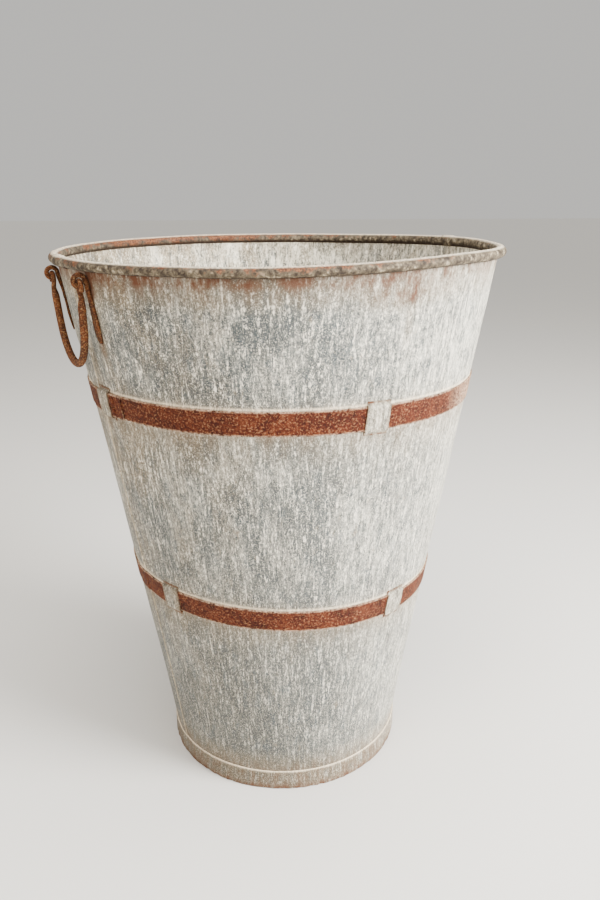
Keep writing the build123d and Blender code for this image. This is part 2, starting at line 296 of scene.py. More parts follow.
def rolled_rim(name):
    """The rolled edge, handled most: pale along the crest, a painted highlight, brown iron showing in
    patches and a dull grey-brown film between them, near black under the roll where it meets the wall,
    painted shade of the undercut. The attributes crest, rust and grime_and_painted_shade say how high,
    how bare and how dark it is."""
    made, tree = new_material(name)
    here = add(tree, "ShaderNodeTexCoord").outputs["Object"]
    broad = patches(tree, here, 24, 24, 4.0, 0.6)
    mottle = patches(tree, here, 5.5, 5.5, 5.0, 0.7, shift=2.0)
    grit = patches(tree, here, 1.8, 1.8, 3.0, 0.7, shift=6.0)
    crest, rust, grime_and_painted_shade = [add(tree, "ShaderNodeAttribute", attribute_name=attribute).outputs["Fac"]
                          for attribute in ("crest", "rust", "grime_and_painted_shade")]
    film = add(tree, "ShaderNodeValToRGB", {"Fac": mottle},
               stops=[(0.36, "#2B231B"), (0.47, "#493F33"), (0.57, "#6A5F4C"), (0.67, "#B5A88F")])
    iron = add(tree, "ShaderNodeValToRGB", {"Fac": grit},
               stops=[(0.36, "#2C1308"), (0.5, "#5A2D15"), (0.62, "#87593A")])
    both = add(tree, "ShaderNodeMix", {"Factor": 0.5, "A": broad, "B": mottle}, data_type="FLOAT")
    higher = add(tree, "ShaderNodeMath", {0: crest, 1: 0.07, 2: rust}, operation="MULTIPLY_ADD")
    lifted = add(tree, "ShaderNodeMath", {0: both, 1: higher}, operation="ADD")
    skin = coat(tree, film, iron, (lifted, 0.72, 0.78, 0.0, 0.9))
    # pale cream along the crest: painted highlight
    skin = coat(tree, skin, "#F0E2C8", (crest, 0.72, 0.96, 0.0, 0.85), (grit, 0.42, 0.58, 0.35, 1.0))
    # near black under the roll and in its undercut: painted shade
    skin = coat(tree, skin, "#2B1E15", grime_and_painted_shade)
    rough = strength(tree, (grit, 0.35, 0.65, 0.5, 0.85))
    relief = add(tree, "ShaderNodeMath", {0: mottle, 1: grit}, operation="ADD")
    finish_material(tree, skin, rough, relief, 0.5, 0.2)
    return made


def rusted(name, tones, scale=1.0, bump=0.45):
    """Wrought iron rusted all over and handled: a hard red-brown scale, orange where it has flaked, dark
    in the pits and flecked tan where dust has dried on it. tones are its pits, scale, bloom and dust."""
    made, tree = new_material(name)
    here = add(tree, "ShaderNodeTexCoord").outputs["Object"]
    cloud = patches(tree, here, 17 * scale, 17 * scale, 4.0, 0.6)
    mottle = patches(tree, here, 3.0 * scale, 3.0 * scale, 4.0, 0.7, shift=4.0)
    grit = patches(tree, here, 1.9 * scale, 2.6 * scale, 3.0, 0.7, shift=8.0)
    both = add(tree, "ShaderNodeMix", {"Factor": 0.6, "A": cloud, "B": mottle}, data_type="FLOAT")
    skin = add(tree, "ShaderNodeValToRGB", {"Fac": both}, stops=list(zip((0.38, 0.48, 0.58), tones)))
    skin = coat(tree, skin, tones[3], (grit, 0.53, 0.66, 0.0, 0.85))
    skin = coat(tree, skin, "#2A140D", (grit, 0.46, 0.34, 0.0, 0.75))
    # pale cream where the mesh says: on the hoops part dust and part painted highlight
    cream_and_highlight = add(tree, "ShaderNodeAttribute", attribute_name="cream_and_highlight").outputs["Fac"]
    skin = coat(tree, skin, "#DDBFA0", cream_and_highlight, (mottle, 0.4, 0.6, 0.0, 1.0))
    rough = strength(tree, (grit, 0.35, 0.65, 0.6, 0.9))
    relief = add(tree, "ShaderNodeMath", {0: mottle, 1: grit}, operation="ADD")
    finish_material(tree, skin, rough, relief, bump, 0.12)
    return made


wall_zinc = zinc("weathered hot-dipped zinc, outside", ("#474F52", "#696D6B", "#989890"))
inner_zinc = zinc("chalky hot-dipped zinc, inside", ("#82827A", "#B0AB98", "#E6E0CC"), 0.45, warmth=0.35,
                  calm=1.1)
rim_zinc = rolled_rim("worn zinc on the rolled rim")
clip_zinc = zinc("soldered zinc clips", ("#43423A", "#6E6B61", "#B5B1A4"), 0.4)
foot_zinc = zinc("stained zinc of the foot band", ("#352B24", "#4A4038", "#72675C"), 1.2, warmth=0.4)
hoop_rust = rusted("rusted flat iron of the hoops", ("#260E08", "#42190D", "#592A17", "#8C6346"))
handle_rust = rusted("rusted forged iron of the handles", ("#22110A", "#4C2A19", "#6E3F23", "#98754F"),
                     scale=0.8)
wire_rust = rusted("rusted wire inside the rim", ("#35211A", "#5F3A29", "#7E4E34", "#9A6F50"))


# ---- Sheet and hoops: a section turned round the axis by one geometry node tree
def new_tree(name, **inputs):
    """A geometry node group with these kinds of input, and its inputs by name."""
    tree = bpy.data.node_groups.new(name, "GeometryNodeTree")
    for label, kind in inputs.items():
        tree.interface.new_socket(label, in_out="INPUT", socket_type=f"NodeSocket{kind}")
    tree.interface.new_socket("Piece", in_out="OUTPUT", socket_type="NodeSocketGeometry")
    return tree, add(tree, "NodeGroupInput").outputs


def finish_tree(tree, geometry, finish):
    """Close a geometry node group: what it made, as real geometry in one material."""
    real = add(tree, "GeometryNodeRealizeInstances", {"Geometry": geometry})
    painted = add(tree, "GeometryNodeSetMaterial", {"Geometry": real, "Material": finish})
    add(tree, "NodeGroupOutput", {"Piece": painted})


def turning_tree():
    """Sweeps a closed section round the axis: the section's x is its distance out from the path, and its
    y the height."""
    tree, given = new_tree("turn a section round the axis", Section="Geometry", Radius="Float",
                           Start="Float", Sweep="Float", Rings="Int", Finish="Material")
    arc = add(tree, "GeometryNodeCurveArc", {
        "Resolution": given["Rings"], "Radius": given["Radius"], "Start Angle": given["Start"],
        "Sweep Angle": given["Sweep"]}, mode="RADIUS")
    upright = add(tree, "GeometryNodeSetCurveNormal", {"Curve": arc}, mode="Z_UP")
    section = add(tree, "GeometryNodeMeshToCurve", {"Mesh": given["Section"]})
    swept = add(tree, "GeometryNodeCurveToMesh", {
        "Curve": upright, "Profile Curve": section, "Fill Caps": True})
    finish_tree(tree, swept, given["Finish"])
    return tree


def in_scene(name, data):
    made = bpy.data.objects.new(name, data)
    bpy.context.scene.collection.objects.link(made)
    return made


def run_tree(name, mesh, tree, values):
    """Run a geometry node tree on a mesh and keep the result as a plain mesh object."""
    source = in_scene(name, mesh)
    modifier = source.modifiers.new("made by nodes", "NODES")
    modifier.node_group = tree
    for item in tree.interface.items_tree:
        if item.name in values:
            modifier[item.identifier] = values[item.name]
    bpy.context.view_layer.update()
    depsgraph = bpy.context.evaluated_depsgraph_get()
    result = bpy.data.meshes.new_from_object(source.evaluated_get(depsgraph), depsgraph=depsgraph)
    result.name = name
    source.modifiers.remove(modifier)
    source.data = result
    bpy.data.meshes.remove(mesh)
    return source


TURNING = turning_tree()


def turned(name, section, start, end, spacing, finish):
    """A piece turned from a closed section of (radius, height). With the piece it gives, by vertex, the
    azimuth, the number of the section point, and that point's radius and height."""
    mesh = bpy.data.meshes.new(name)
    flat = [((r - foot_radius) * MM, -z * MM, 0.0) for r, z in section]
    count = len(section)
    mesh.from_pydata(flat, [(i, (i + 1) % count) for i in range(count)], [])
    widest = max(r for r, z in section)
    rings = max(3, round(math.radians(end - start) * widest / spacing) + 1)
    piece = run_tree(name, mesh, TURNING, {
        "Radius": foot_radius * MM, "Rings": rings, "Start": math.radians(start - 90),
        "Sweep": math.radians(end - start), "Finish": finish})
    co = positions(piece)
    azimuth = np.repeat(np.linspace(start, end, rings), count)
    first = np.stack([np.hypot(co[:count, 0], co[:count, 1]), co[:count, 2]], 1)
    wanted = np.array(section)
    nearest = ((first[:, None, :] - wanted[None, :, :]) ** 2).sum(2).argmin(1)
    point = np.tile(nearest, rings)
    return piece, azimuth, point, *wanted[point].T


def positions(piece):
    co = np.empty(len(piece.data.vertices) * 3)
    piece.data.vertices.foreach_get("co", co)
    return co.reshape(-1, 3) / MM


def place(piece, azimuth, radius, z):
    a = np.radians(azimuth)
    co = np.stack([radius * np.sin(a), -radius * np.cos(a), z], 1) * MM
    piece.data.vertices.foreach_set("co", co.ravel())
    piece.data.update()


def mark(piece, name, values):
    """Store one number, or one vector, for each vertex."""
    kind, slot = ("FLOAT_VECTOR", "vector") if np.ndim(values) == 2 else ("FLOAT", "value")
    attribute = piece.data.attributes.get(name) or piece.data.attributes.new(name, kind, "POINT")
    attribute.data.foreach_set(slot, np.asarray(values, np.float32).ravel())


def mark_along(piece, azimuth, z, third):
    mark(piece, "along", np.stack([np.radians(azimuth) * arc_scale, z, third], 1) * MM)


def close_up(piece, crease=35.0):
    """Faces outward, smooth but for real edges."""
    shape = bmesh.new()
    shape.from_mesh(piece.data)
    bmesh.ops.recalc_face_normals(shape, faces=shape.faces)
    shape.to_mesh(piece.data)
    shape.free()
    piece.data.shade_smooth()
    piece.data.set_sharp_from_angle(angle=math.radians(crease))


def join(name, pieces):
    """Several mesh objects as one, keeping their materials and attributes."""
    bpy.ops.object.select_all(action="DESELECT")
    for piece in pieces:
        piece.select_set(True)
    bpy.context.view_layer.objects.active = pieces[0]
    if len(pieces) > 1:
        bpy.ops.object.join()
    pieces[0].name = name
    pieces[0].data.name = name
    return pieces[0]


# ---- the two half sheets with their rolled rim
OUTSIDE, ON_ROLL, INSIDE = 0, 1, 2


def around_bead(radius, turns):
    """Points at this radius round the middle of the roll."""
    return [(bead_r + radius * math.cos(t), bead_z + radius * math.sin(t)) for t in turns]


def sheet_section():
    """Outline of a half sheet: up the outer face, round the roll and its hollow, down the inner face.
    Also says which points are outside, on the roll and inside."""
    out_join = math.degrees(math.acos(-overhang / roll_radius))
    in_join = math.degrees(math.acos(-(overhang + sheet) / roll_radius))
    top = bead_z - roll_radius * math.sin(math.radians(out_join)) - 0.3
    hoop_high = hoop_low + hoop_width
    # more rows where the stains and the cream lines change quickly
    rows = np.unique(np.concatenate([
        np.linspace(wall_bottom, top, 88), np.arange(top - 15.0, top, 1.5),
        np.arange(lower_hoop_middle - 24.0, lower_hoop_middle + 30.0, 1.5),
        np.arange(hoop_low - 5.0, hoop_low, 1.2), np.arange(hoop_high - 1.0, hoop_high + 7.0, 1.2)]))
    slit = 0.4
    points = [(wall_radius(z), z) for z in rows]
    side = [OUTSIDE] * len(points)
    slit_out = math.degrees(math.asin(slit / roll_radius))
    slit_in = math.degrees(math.asin(slit / (roll_radius - sheet)))
    turns = ((roll_radius, -out_join, -90 - slit_out, 4),
             (roll_radius - sheet, -90 - slit_in, -450 + slit_in, 28),
             (roll_radius, -90 + slit_out, 360 - in_join, 34))
    for radius, start, end, number in turns:
        points += around_bead(radius, np.radians(np.linspace(start, end, number)))
        side += [ON_ROLL] * number
    points += [(wall_radius(z) - sheet, z) for z in rows[::-1]]
    side += [INSIDE] * len(rows)
    return points, np.array(side)


def lap_section():
    """Outline of the strip of the back sheet that lies over an end of the front sheet."""
    rows = np.linspace(band_height + 1.0, bead_z - roll_radius - 1.6, 100)
    points = [(wall_radius(z) + seat + sheet, z) for z in rows]
    points += [(wall_radius(z) + seat, z) for z in rows[::-1]]
    return points


def stain_map(azimuth, z):
    """Where iron has stained the zinc: under the roll, about the hoops and in the known runs."""
    a = (azimuth + 180.0) % 360.0 - 180.0
    broad = smooth(z, roll_bottom - 38.0, roll_bottom - 12.0) * (0.42 + 0.2 * np.exp(-((a + 45) / 40) ** 2))
    under_roll = broad + 0.45 * smooth(z, roll_bottom - 15.0, roll_bottom - 5.0)
    glow = 0.5 * np.exp(-((a - 29) / 9.0) ** 2 - ((z - 593) / 13.0) ** 2)
    run_one = 0.45 * np.exp(-((a - 31.5) / 0.9) ** 2) * smooth(z, 520.0, 585.0)
    run_two = 0.35 * np.exp(-((a + 54.2) / 1.3) ** 2) * smooth(z, 300.0, 520.0)
    hoops = np.zeros(len(a))
    for low, reach in ((hoop_low, 22.0), (tilted(lower_hoop_middle - hoop_width / 2, a), 16.0)):
        hoops += 0.55 * np.exp(-np.clip(low - z, 0, None) / reach) * (z < low + 4)
        hoops += 0.4 * np.exp(-np.clip(z - low - hoop_width, 0, None) / 6.0) * (z > low + hoop_width - 4)
    tails = np.zeros(len(a))
    for eyes in handle_eyes.values():
        for eye in eyes:
            away = turn_between(a, eye) * 4.1
            upright = smooth(z, 500.0, 545.0) * (1 - smooth(z, 600.0, 608.0))
            tails += 0.9 * np.exp(-(away / 7.0) ** 2) * upright
    foot = 0.55 * (1 - smooth(z, 24.0, 60.0))
    seam = 0.5 * np.exp(-(turn_between(a, front_end) / 1.3) ** 2) * smooth(z, 560.0, 590.0)
    return np.clip(under_roll + glow + run_one + run_two + hoops + tails + foot + seam, 0, 1)


def rim_rust(azimuth):
    """How far bare iron shows on the roll: most at the back left, then at the front."""
    back = np.exp(-((azimuth % 360.0 - 222.0) / 48.0) ** 2)
    front = np.exp(-(turn_between(azimuth, 0.0) / 45.0) ** 2)
    return 0.13 + 0.16 * back + 0.05 * front


def cream_and_highlight_map(azimuth, z):
    """Where cream is laid on the zinc, part deposit and part painted highlight: a strong line above each
    hoop where light from above catches it, a faint one below, and the seam's edge.
    """
    a = (azimuth + 180.0) % 360.0 - 180.0
    total = np.zeros(len(a))
    for middle in (upper_hoop_middle, tilted(lower_hoop_middle, a)):
        total += 0.95 * np.exp(-((z - middle - hoop_width / 2 - 1.3) / 1.2) ** 2)
        total += 0.12 * np.exp(-((z - middle + hoop_width / 2 + 1.3) / 1.2) ** 2)
    seam = 0.5 * np.exp(-(turn_between(a, front_start + seam_lap) / 0.35) ** 2)
    return np.clip(total + seam, 0, 1)


def finish_sheet(piece, azimuth, radius, z, inside):
    """Dent and sag a piece of the sheet work, and store what its materials read."""
    new_radius, new_z = settle(azimuth, radius, z)
    place(piece, azimuth, new_radius, new_z)
    mark_along(piece, azimuth, z, inside * 100.0)
    mark(piece, "stain_and_shade", stain_map(azimuth, z) * np.where(inside > 1.5, 0.35, 1.0))
    # the cream line above each hoop is partly painted highlight
    mark(piece, "cream_and_highlight", cream_and_highlight_map(azimuth, z) * (inside < 0.5))
    crest = np.clip((z - bead_z) / roll_radius, -1, 1)
    mark(piece, "crest", crest)
    # painted shade under the roll and in its undercut inside
    undercut_shade = smooth(-crest, 0.1, 0.65) * (radius < bead_r - 0.5)
    mark(piece, "grime_and_painted_shade", 0.92 * np.maximum(undercut_shade, smooth(-crest, 0.72, 0.92)))
    mark(piece, "rust", rim_rust(azimuth))


def wall_sheet(name, start, end, joggled):
    """One half sheet; a joggled one steps out at both ends, to lie over the other sheet."""
    section, side = sheet_section()
    piece, azimuth, point, radius, z = turned(name, section, start, end, 4.4, wall_zinc)
    if joggled:
        out = 1 - smooth(np.minimum(azimuth - start, end - azimuth), 0.2, joggle)
        above_band = smooth(z, band_height, band_height + 5)
        out *= (side[point] != ON_ROLL) * above_band * (1 - smooth(z, 603.0, 609.0))
        radius = radius + out * (sheet + 2 * seat)
    finish_sheet(piece, azimuth, radius, z, side[point].astype(float))
    piece.data.materials.append(inner_zinc)
    piece.data.materials.append(rim_zinc)
    zone = side[point]
    for face in piece.data.polygons:
        kinds = zone[list(face.vertices)]
        if len(face.vertices) == 4 and kinds.min() == INSIDE:
            face.material_index = 1
        elif len(face.vertices) == 4 and kinds.max() >= ON_ROLL:
            face.material_index = 2
    close_up(piece)
    return piece


def lap_strip(name, start, end):
    """The part of the back sheet that lies over an end of the front sheet, with a sheared edge."""
    piece, azimuth, _, radius, z = turned(name, lap_section(), start, end, 1.8, wall_zinc)
    finish_sheet(piece, azimuth, radius, z, np.zeros(len(azimuth)))
    close_up(piece)
    return piece


def lapped_roll(name, joint, way):
    """Where the front sheet's roll is wrapped over the back sheet's, in a crumpled collar."""
    reach = 2.4
    turns = np.radians(np.linspace(-70.0, 236.0, 40))
    section = around_bead(roll_radius + 0.95, turns) + around_bead(roll_radius - 0.1, turns[::-1])
    piece, azimuth, _, radius, z = turned(name, section, joint - reach, joint + reach, 1.2, rim_zinc)
    angle = np.arctan2(z - bead_z, radius - bead_r)
    thick = np.hypot(z - bead_z, radius - bead_r) - roll_radius
    off = (azimuth - joint) * way / reach
    # the sheared edge is cut on a slant, and the other side fades into the roll
    skew = azimuth + way * 0.9 * np.cos(angle - 0.9) * smooth(off, 0.3, 1.0)
    thick = thick * smooth(off, -1.0, -0.45) - 0.06
    radius = bead_r + (roll_radius + thick) * np.cos(angle)
    z = bead_z + (roll_radius + thick) * np.sin(angle)
    finish_sheet(piece, skew, radius, z, np.ones(len(azimuth)))
    mark(piece, "stain_and_shade", np.full(len(azimuth), 0.5))
    mark(piece, "grime_and_painted_shade", 0.85 * smooth(off, 0.7, 0.95))
    close_up(piece)
    return piece


joint_gap = 0.05
front = join("front_sheet", [
    wall_sheet("front_sheet", front_start, front_end, False),
    lapped_roll("roll_lap", front_end, 1), lapped_roll("roll_lap", front_start, -1)])
back_from, back_to = front_end + joint_gap, front_start + 360.0 - joint_gap
back = join("back_sheet", [
    wall_sheet("back_sheet", back_from, back_to, True),
    lap_strip("lap", front_end - seam_lap, back_from + 0.1),
    lap_strip("lap", back_to - 0.1, back_to + seam_lap)])

wire_section = around_bead(wire_radius, np.linspace(0.0, 2 * math.pi, 20, endpoint=False))
wire, turns, _, out, height = turned("rim_wire_iron", wire_section, 0.2, 359.8, 8.0, wire_rust)
place(wire, turns, *settle(turns, out, height))
close_up(wire)


# ---- the foot band
def ripple(azimuth, rate, across, seed):
    """Noise along a strip: rate is how fast it changes round the wall."""
    spots = [Vector((math.radians(a) * rate, w, seed)) for a, w in zip(azimuth, across)]
    return np.array([noise.noise(spot) for spot in spots])


def band_piece():
    """The soldered foot band, its lower edge eaten by rust and its top edge bevelled, with a pale painted
    highlight line along that top.
    """
    inner = wall_radius(band_height) + seat
    thick = 1.4
    outer = inner + thick
    rows = np.linspace(0.0, band_height, 14)
    section = [(inner, rows[0])] + [(outer, z) for z in rows[:-1]]
    section += [(outer - 0.15, band_height - 0.25), (outer - 0.6, band_height)]
    section += [(inner, z) for z in rows[::-1][:-1]]
    start, end = 150.0, 150.0 + 360.0 + 9.0
    piece, azimuth, _, radius, z = turned("foot_band_sheet", section, start, end, 2.5, foot_zinc)
    lift = smooth(azimuth, start + 359.2, start + 360.4) * (thick + seat)
    ragged = ripple(azimuth, 14.0, np.full(len(azimuth), 0.3), 2.0)
    fine = ripple(azimuth, 60.0, np.full(len(azimuth), 0.3), 5.0)
    low = z < 3.0
    z = np.where(low, z + np.clip(0.55 + 0.9 * ragged + 0.5 * fine, 0.0, 2.0) * (1 - z / 3.0), z)
    wave = 0.25 * fine + 0.35 * ragged
    radius = radius + lift - np.where(radius > inner + 0.1, np.clip(wave + 0.2, 0.0, 0.6), 0.0)
    place(piece, azimuth, radius, z)
    mark_along(piece, azimuth, z, radius * 0.0)
    mark(piece, "stain_and_shade", 0.42 + 0.58 * (1 - smooth(z, 0.0, 11.0)))
    # pale line along the top edge: painted highlight
    mark(piece, "cream_and_highlight", 0.9 * smooth(z, band_height - 2.2, band_height - 0.6))
    close_up(piece)
    return piece


band = band_piece()


# ---- the hoops
def hoop_piece(name, start, lap, middle, level):
    """Flat iron once round the wall, lifting over both seams and over its own end."""
    half_w, half_t = hoop_width / 2, hoop_thickness / 2
    across = np.linspace(-half_w + 0.5, half_w - 0.5, 15)
    section = [(half_t, w) for w in across]
    section += [(half_t - 0.5, half_w), (-half_t, half_w - 0.2)]
    section += [(-half_t, w) for w in across[::-1]]
    section += [(-half_t, -half_w + 0.2), (half_t - 0.5, -half_w)]
    placed = [(wall_radius(middle + w) + t + half_t, middle + w) for t, w in section]
    piece, azimuth, point, _, _ = turned(name, placed, start, start + 360 + lap, 1.9, hoop_rust)
    out, across = np.array(section)[point].T
    out = out + half_t
    lift = np.full(len(azimuth), seat)
    for low, high in ((front_start - 1.8, front_start + seam_lap), (front_end - seam_lap, front_end + 1.8)):
        for whole in (0.0, 360.0):
            onto = smooth(azimuth, low + whole - 1.0, low + whole)
            off = smooth(azimuth, high + whole, high + whole + 1.0)
            lift += (onto - off) * (sheet + 2 * seat)
    over = smooth(azimuth, start + 358.2, start + 359.6)
    lift = np.maximum(lift, over * (hoop_thickness + 2 * seat))
    edge = ripple(azimuth, 26.0, across * 0.3, middle)
    scale = ripple(azimuth, 90.0, across * 0.55, middle)
    across = across * (1 - 0.007 * (1 + edge) * (np.abs(across) > half_w - 1.0))
    outer = out > half_t
    out = out - np.where(outer, 0.12 * (1 + scale) + 0.08 * (1 + edge), 0.0)
    z = level(azimuth) + across
    radius = wall_radius(z) + lift + out
    place(piece, azimuth, *settle(azimuth, radius, z))
    # pale along both edges and over the right-hand side where the window light falls: part dust, part
    # painted highlight
    near_edge = smooth(np.abs(across), half_w - 1.5, half_w - 0.2)
    dust_and_painted_light = 0.62 * smooth(azimuth, 50.0, 66.0) * (1 - smooth(azimuth, 95.0, 120.0))
    mark(piece, "cream_and_highlight", np.maximum(near_edge * 0.7, dust_and_painted_light))
    close_up(piece)
    return piece


def upper_level(azimuth):
    return upper_hoop_middle


def lower_level(azimuth):
    return tilted(lower_hoop_middle, azimuth)


upper_hoop = hoop_piece("upper_hoop_iron", -52.0, 7.8, upper_hoop_middle, upper_level)
lower_hoop = hoop_piece("lower_hoop_iron", 163.0, 10.0, lower_hoop_middle, lower_level)


# ---- Clips and rivets: repeated pieces, set on points by geometry nodes
def points_mesh(name, spots, lean):
    """One vertex for each repeat, with the turn that faces it out from the wall."""
    mesh = bpy.data.meshes.new(name)
    mesh.from_pydata([tuple(c * MM for c in spot) for spot, azimuth in spots], [], [])
    facing = mesh.attributes.new("facing", "FLOAT_VECTOR", "POINT")
    turns = [c for spot, azimuth in spots for c in (math.radians(90) + lean, 0.0, math.radians(azimuth))]
    facing.data.foreach_set("vector", turns)
    return mesh


def set_on_points(tree, given, shape):
    """Set a shape on the given points by their facing, each turned a little at random."""
    facing = add(tree, "GeometryNodeInputNamedAttribute", {"Name": "facing"}, data_type="FLOAT_VECTOR")
    most = 0.02
    random_turn = add(tree, "FunctionNodeRandomValue", {
        "Min": (-most,) * 3, "Max": (most,) * 3, "Seed": given["Seed"]}, data_type="FLOAT_VECTOR")
    turned_by = add(tree, "ShaderNodeVectorMath", {0: facing, 1: random_turn}, operation="ADD")
    placed = add(tree, "GeometryNodeInstanceOnPoints", {
        "Points": given["Points"], "Instance": shape, "Rotation": turned_by})
    finish_tree(tree, placed, given["Finish"])


def clip_tree():
    """A hat-section clip of thin sheet: two flanges on the wall and a bridge over the hoop."""
    tree, given = new_tree("clips on a hoop", Points="Geometry", Width="Float", Length="Float",
                           Window="Float", Lift="Float", Thickness="Float", Bend="Float", Seed="Int",
                           Finish="Material")
    grid = add(tree, "GeometryNodeMeshGrid", {
        "Size X": given["Width"], "Size Y": given["Length"], "Vertices X": 17, "Vertices Y": 41})
    where = add(tree, "ShaderNodeSeparateXYZ", {0: add(tree, "GeometryNodeInputPosition")})
    reach = add(tree, "ShaderNodeMath", {0: where.outputs["Y"]}, operation="ABSOLUTE")
    outer = add(tree, "ShaderNodeMath", {0: given["Window"], 1: given["Thickness"]}, operation="ADD")
    hat = add(tree, "ShaderNodeMapRange", {
        "Value": reach, "From Min": outer, "From Max": given["Window"], "To Max": given["Lift"]},
        interpolation_type="SMOOTHSTEP")
    sideways = where.outputs["X"]
    square = add(tree, "ShaderNodeMath", {0: sideways, 1: sideways}, operation="MULTIPLY")
    sag = add(tree, "ShaderNodeMath", {0: square, 1: given["Bend"]}, operation="DIVIDE")
    hammered = add(tree, "ShaderNodeTexNoise", {"Scale": 95.0, "Detail": 2.0})
    hammer = add(tree, "ShaderNodeMath", {0: hammered.outputs["Fac"], 1: -0.0004}, operation="MULTIPLY")
    level = add(tree, "ShaderNodeMath", {0: hat, 1: sag}, operation="SUBTRACT")
    rise = add(tree, "ShaderNodeMath", {0: level, 1: hammer}, operation="ADD")
    upward = add(tree, "ShaderNodeCombineXYZ", {"Z": rise})
    lifted = add(tree, "GeometryNodeSetPosition", {"Geometry": grid.outputs["Mesh"], "Offset": upward})
    skin = add(tree, "GeometryNodeExtrudeMesh", {
        "Mesh": lifted, "Offset Scale": given["Thickness"], "Individual": False})
    under = add(tree, "GeometryNodeFlipFaces", {"Mesh": lifted})
    both = add(tree, "GeometryNodeJoinGeometry")
    tree.links.new(skin.outputs["Mesh"], both.inputs[0])
    tree.links.new(under.outputs["Mesh"], both.inputs[0])
    closed = add(tree, "GeometryNodeMergeByDistance", {"Geometry": both, "Distance": 0.00005})
    set_on_points(tree, given, closed)
    return tree


def rivet_tree():
    """A hand-set rivet head: a low dome with a hammered top."""
    tree, given = new_tree("rivet heads", Points="Geometry", Radius="Float", Crown="Float", Seed="Int",
                           Finish="Material")
    ball = add(tree, "GeometryNodeMeshUVSphere", {"Segments": 28, "Rings": 18, "Radius": 1.0})
    where = add(tree, "ShaderNodeSeparateXYZ", {0: add(tree, "GeometryNodeInputPosition")})
    top = add(tree, "ShaderNodeMath", {0: where.outputs["Z"], 1: -0.12}, operation="MAXIMUM")
    beaten = add(tree, "ShaderNodeTexNoise", {"Scale": 1.6, "Detail": 2.0})
    wear = strength(tree, (beaten, 0.3, 0.7, 0.86, 1.0))
    tall = add(tree, "ShaderNodeMath", {0: top, 1: given["Crown"]}, operation="MULTIPLY")
    flat = add(tree, "ShaderNodeMath", {0: tall, 1: wear}, operation="MULTIPLY")
    wide_x = add(tree, "ShaderNodeMath", {0: where.outputs["X"], 1: given["Radius"]}, operation="MULTIPLY")
    wide_y = add(tree, "ShaderNodeMath", {0: where.outputs["Y"], 1: given["Radius"]}, operation="MULTIPLY")
    around = add(tree, "ShaderNodeCombineXYZ", {"X": wide_x, "Y": wide_y, "Z": flat})
    shaped = add(tree, "GeometryNodeSetPosition", {"Geometry": ball.outputs["Mesh"], "Position": around})
    set_on_points(tree, given, shaped)
    return tree


LEAN = math.atan(taper)
CLIPS, RIVETS = clip_tree(), rivet_tree()


def on_wall(azimuth, z, lift):
    """Point this far out from the wall's face, and its azimuth."""
    radius, height = settle(np.array([azimuth]), np.array([wall_radius(z) + lift]), np.array([z]))
    a = math.radians(azimuth)
    return (radius[0] * math.sin(a), -radius[0] * math.cos(a), height[0]), azimuth


def clips(name, azimuths, level, lift, room, seed):
    """Clips over a hoop at these azimuths."""
    spots = [on_wall(azimuth, level(azimuth), 0.0) for azimuth in azimuths]
    thickness = 1.0
    window = hoop_width / 2 + room
    radius = wall_radius(level(azimuths[0]))
    return run_tree(name, points_mesh(name, spots, LEAN), CLIPS, {
        "Width": clip_width * MM, "Length": (window + thickness + 3.5) * 2 * MM, "Window": window * MM,
        "Lift": lift * MM, "Thickness": thickness * MM, "Bend": 2 * radius * MM, "Seed": seed,
        "Finish": clip_zinc})


clip_piece = join("hoop_clips", [
    clips("lapped", upper_clips[:1], upper_level, 2 * hoop_thickness + 0.3, 0.3, 3),
    clips("upper", upper_clips[1:], upper_level, hoop_thickness + 0.3, 0.3, 4),
    clips("lower", lower_clips, lower_level, hoop_thickness + 0.3, 0.9, 5)])
spot = positions(clip_piece)
clip_azimuth = np.degrees(np.arctan2(spot[:, 0], -spot[:, 1]))
mark_along(clip_piece, clip_azimuth, spot[:, 2], spot[:, 2] * 0.0)
# darker along each clip's borders: painted shade of the gaps at its sheared edges, over a little real
# staining
half_length = hoop_width / 2 + 4.5
border_shade = np.zeros(len(spot))
for azimuths, level in ((upper_clips, upper_level), (lower_clips, lower_level)):
    for azimuth in azimuths:
        aside = np.radians(turn_between(clip_azimuth, azimuth)) * wall_radius(level(azimuth))
        upright = np.abs(spot[:, 2] - level(azimuth))
        here = (aside < clip_width) & (upright < 2 * half_length)
        border = np.maximum(smooth(aside, clip_width / 2 - 2.4, clip_width / 2 - 0.3),
                            smooth(upright, half_length - 3.0, half_length - 0.6))
        border_shade = np.where(here, border, border_shade)
mark(clip_piece, "stain_and_shade", 0.25 + 0.75 * border_shade)
close_up(clip_piece)

rivet_spots = []
for azimuth, level in ((-48.3, upper_level), (168.0, lower_level)):
    for offset in (-5.5, 5.5):
        rivet_spots.append(on_wall(azimuth, level(azimuth) + offset, 2 * hoop_thickness + 0.1))
rivet_piece = run_tree("hoop_rivet_heads", points_mesh("rivets", rivet_spots, LEAN), RIVETS, {
    "Radius": 4.2 * MM, "Crown": 2.0 * MM, "Seed": 11, "Finish": hoop_rust})
close_up(rivet_piece)


# ---- Handles: forged rod and strap, swept along flat paths
def flow(points, spacing):
    """A smooth line through points, stepped evenly; each point may carry further values."""
    table = np.array(points, float)
    fine = []
    for i in range(len(table) - 1):
        before = table[max(i - 1, 0)]
        one, two = table[i], table[i + 1]
        after = table[min(i + 2, len(table) - 1)]
        for t in np.linspace(0.0, 1.0, 16, endpoint=False):
            bend = 2 * before - 5 * one + 4 * two - after
            fine.append(0.5 * (2 * one + (two - before) * t + bend * t ** 2
                               + (3 * one - before - 3 * two + after) * t ** 3))
    fine.append(table[-1])
    fine = np.array(fine)
    run = np.concatenate([[0.0], np.cumsum(np.hypot(*np.diff(fine[:, :2], axis=0).T))])
    steps = np.linspace(0.0, run[-1], max(4, round(run[-1] / spacing)))
    return np.stack([np.interp(steps, run, fine[:, k]) for k in range(fine.shape[1])], 1)


